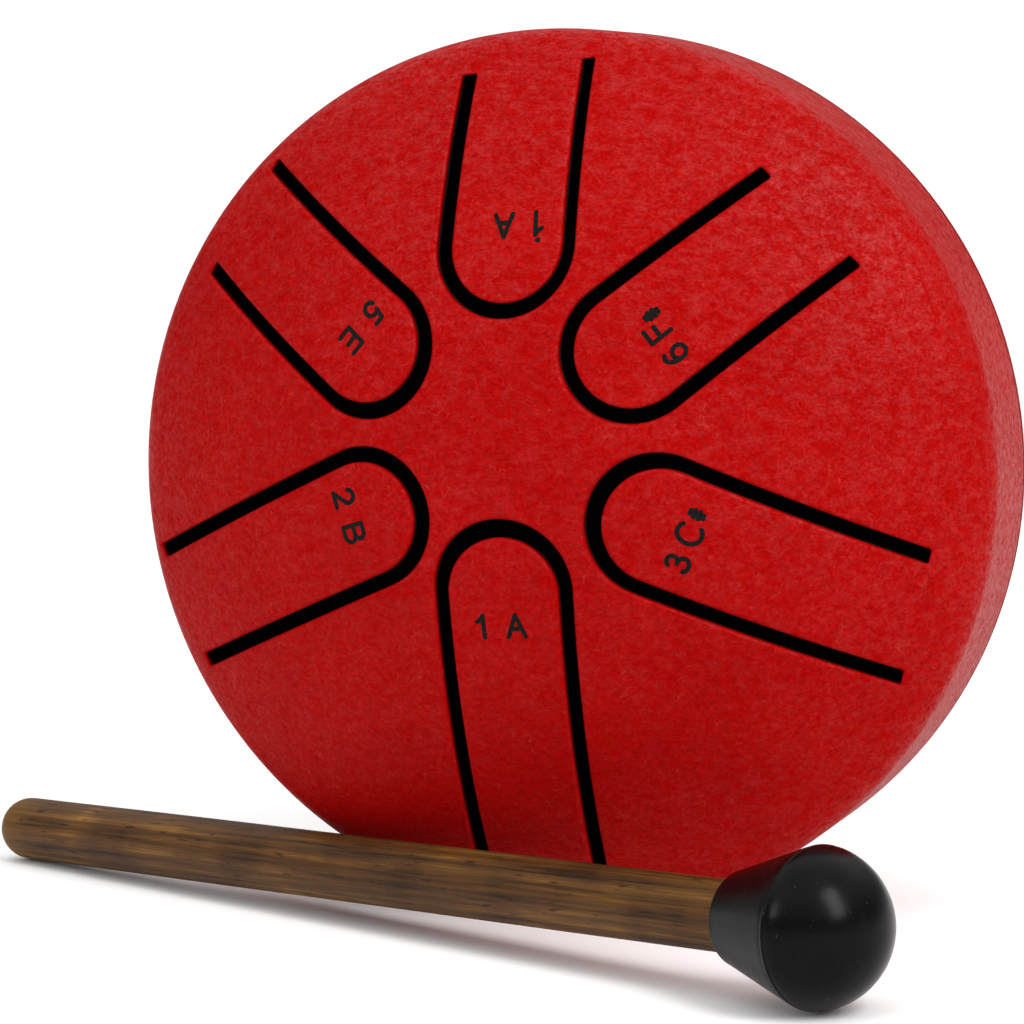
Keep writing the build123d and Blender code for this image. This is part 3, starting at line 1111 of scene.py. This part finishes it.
def make_foot(name, angle):
    """Rubber foot: a tapered pad with a rounded edge and a small gate mark in its face."""
    middle = np.array((cos(radians(angle)), sin(radians(angle)))) * FOOT_CIRCLE_RADIUS
    inside = -BODY_DEPTH - (sqrt((CROWN_RADIUS - SHEET) ** 2 - FOOT_CIRCLE_RADIUS**2) - CROWN_RADIUS)
    rest = -BODY_DEPTH - FOOT_STAND
    height = inside - rest
    slope = tan(radians(FOOT_TAPER))
    base = FOOT_RADIUS - height * slope
    rows = [(radius, rest + depth, pi) for radius, depth in GATE_MARK]
    rows += [(base - FOOT_EDGE - 0.55, rest, pi), (base - FOOT_EDGE, rest, pi)]
    lean_end = pi / 2 + radians(FOOT_TAPER)
    for i in range(1, 8):
        lean = pi + (lean_end - pi) * i / 7
        radius = base - FOOT_EDGE + FOOT_EDGE * sin(lean)
        rows.append((radius, rest + FOOT_EDGE + FOOT_EDGE * cos(lean), lean))
    rows.append((FOOT_RADIUS - FOOT_SUNK * slope - 0.02, inside - FOOT_SUNK, lean_end))
    surface = Surface()
    sweep(surface, rows, count=72)
    for face in surface.faces:
        face.reverse()
    for points in surface.points:
        points[:, :2] += middle
    return surface.piece("pad_" + name.replace("foot_", ""), [foot_rubber])


back = make_back()
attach(back, "drum")
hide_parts("bottom_shell")
for name, angle in FEET:
    pad = make_foot(name, angle)
    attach(pad, "drum")
    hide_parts(name)


# ---------------------------------------------------------------- mallet


def turned(name, rows, count, material, shape=None):
    """Mesh turned about X from (x, radius) rows; shape may move its points a little."""
    angles = np.arange(count) * 2 * pi / count
    points, faces = [], []
    before = None
    for x, radius in rows:
        first = len(points)
        if radius < 1e-6:
            points.append((x, 0.0, 0.0))
            row = [first] * count
        else:
            points += [(x, radius * cos(a), radius * sin(a)) for a in angles]
            row = list(range(first, first + count))
        if before is not None:
            faces += ring_faces(before, row)
        before = row
    points = np.array(points)
    if shape is not None:
        points = shape(points)
    mesh = bpy.data.meshes.new(name)
    mesh.from_pydata((points * MM).tolist(), [], faces)
    mesh.transform(mallet_place())
    mesh.materials.append(material)
    mesh.polygons.foreach_set("use_smooth", [True] * len(mesh.polygons))
    mesh.update()
    piece = add_object(name, mesh)
    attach(piece, "mallet")
    return piece


def hand_sanded(points):
    """Very slightly flattened and waisted, always within the true cylinder."""
    x, y, z = points[:, 0], points[:, 1], points[:, 2]
    angle = np.arctan2(z, y)
    dip = 0.5 + 0.25 * np.sin(0.13 * x + 1.0) + 0.25 * np.sin(0.071 * x + 2.0 * angle)
    flat = 0.5 + 0.5 * np.cos(2 * angle + 0.02 * x)
    share = 1 - 0.012 * dip - 0.008 * flat
    return np.stack((x, y * share, z * share), 1)


def shaft_rows():
    """Rounded handle end, straight stick and flat end inside the rubber head."""
    rows = [(-SHAFT_RADIUS, 0.0)]
    for i in range(1, 15):
        lean = pi / 2 * i / 14
        rows.append((-SHAFT_RADIUS * cos(lean), SHAFT_RADIUS * sin(lean)))
    end = MALLET_REACH - SHAFT_END_SHORT
    for i in range(1, 61):
        rows.append((end * i / 60, SHAFT_RADIUS))
    rows.append((end, 0.0))
    return rows



def head_radius(x):
    """Radius of the rubber head at a place on the mallet: cone and ball, blended at the seam."""
    seam_x = MALLET_REACH + SEAM_AHEAD
    seam_r = sqrt(BALL_RADIUS**2 - SEAM_AHEAD**2)
    cone_x = MALLET_REACH - COLLAR_LENGTH + COLLAR_ROUND
    on_cone = COLLAR_RADIUS + (seam_r - COLLAR_RADIUS) * (x - cone_x) / (seam_x - cone_x)
    on_ball = sqrt(max(BALL_RADIUS**2 - max(x - MALLET_REACH, 0) ** 2, 0))
    near = max(1 - abs(on_cone - on_ball) / SEAM_BLEND, 0)
    ridge = SEAM_RISE * cos(pi / 2 * min(abs(x - seam_x) / SEAM_HALF, 1))
    return min(on_cone, on_ball) - near**2 * SEAM_BLEND / 4 + ridge


def head_rows():
    """Socket, rounded lip, cone, mould seam and ball front of the rubber head."""
    rim = MALLET_REACH - COLLAR_LENGTH
    seam_x = MALLET_REACH + SEAM_AHEAD
    rows = [(rim + SOCKET_DEPTH, SHAFT_RADIUS + 0.01), (rim + 0.12, SHAFT_RADIUS + 0.01)]
    step = 0.85 * (COLLAR_RADIUS - SHAFT_RADIUS)
    for i in range(8):
        turn = pi / 2 * i / 7
        rows.append((rim + COLLAR_ROUND * (1 - cos(turn)), COLLAR_RADIUS - step * (1 - sin(turn))))
    before, after = seam_x - SEAM_HALF, seam_x + SEAM_HALF
    start = rim + COLLAR_ROUND
    places = [start + (before - start) * i / 40 for i in range(1, 41)]
    places += [before + (after - before) * i / 10 for i in range(1, 11)]
    lean_after = acos((after - MALLET_REACH) / BALL_RADIUS)
    places += [MALLET_REACH + BALL_RADIUS * cos(lean_after * (1 - i / 56)) for i in range(1, 56)]
    rows += [(x, head_radius(x)) for x in places]
    rows.append((MALLET_REACH + BALL_RADIUS, 0.0))
    return rows


shaft = turned("shaft", shaft_rows(), 64, bamboo, hand_sanded)
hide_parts("mallet_shaft")
head = turned("head", head_rows(), 96, head_rubber)
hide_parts("mallet_head")


# ---------------------------------------------------------------- stage


FLOOR_HALF = 6.0
FLOOR_DROP = 0.0001
CAMERA_PLACE = (106.525, 28.413, 328.533)
CAMERA_TURN = (84.959, 1.308, 17.793)


def make_stage():
    """Plain pale floor, a hair below the object."""
    material, _, shader = new_material("stage_paper")
    shader.inputs["Base Color"].default_value = rgba(0.90, 0.90, 0.90)
    shader.inputs["Roughness"].default_value = 0.9
    shader.inputs["Specular IOR Level"].default_value = 0.1
    mesh = bpy.data.meshes.new("floor")
    corners = [(-1, -1), (1, -1), (1, 1), (-1, 1)]
    corners = [(x * FLOOR_HALF, y * FLOOR_HALF, -FLOOR_DROP) for x, y in corners]
    mesh.from_pydata(corners, [], [(0, 1, 2, 3)])
    mesh.materials.append(material)
    add_object("floor", mesh)


def area_light(name, place, target, size, power):
    """White panel light at a place in metres, turned to its target."""
    light = bpy.data.lights.new(name, "AREA")
    light.shape = "RECTANGLE"
    light.size, light.size_y = size
    light.energy = power
    lamp = add_object(name, light)
    lamp.location = place
    direction = Vector(target) - Vector(place)
    lamp.rotation_euler = direction.to_track_quat("-Z", "Y").to_euler()


def make_world(strength):
    """Bright horizon and ceiling, with a dim band between them."""
    world = bpy.data.worlds.new("studio")
    world.use_nodes = True
    tree = world.node_tree
    background = tree.nodes["Background"]
    direction = put(tree, "ShaderNodeTexCoord").outputs["Generated"]
    rise = put(tree, "ShaderNodeSeparateXYZ", {"Vector": direction}).outputs["Z"]
    stops = [(0.05, grey(0.75)), (0.10, grey(0.24)), (0.35, grey(0.26)), (0.75, grey(1.0))]
    tree.links.new(ramp(tree, rise, stops), background.inputs["Color"])
    background.inputs["Strength"].default_value = strength
    bpy.context.scene.world = world


make_stage()
make_world(1.5)
area_light("key", (0.60, -0.42, 0.58), (0, 0, 0.04), (0.28, 0.60), 6.0)
area_light("left", (-0.456, -0.542, 0.365), (0.04, -0.03, 0.01), (0.06, 0.24), 0.8)

camera_data = bpy.data.cameras.new("camera")
camera_data.sensor_width = 36.0
camera_data.lens = 140.625
camera_data.clip_start = 0.01
camera = add_object("camera", camera_data)
camera.location = to_row([CAMERA_PLACE])[0]
camera.rotation_euler = Euler([radians(angle) for angle in CAMERA_TURN], "XYZ")
bpy.context.scene.camera = camera
bpy.context.scene.view_settings.view_transform = "Standard"
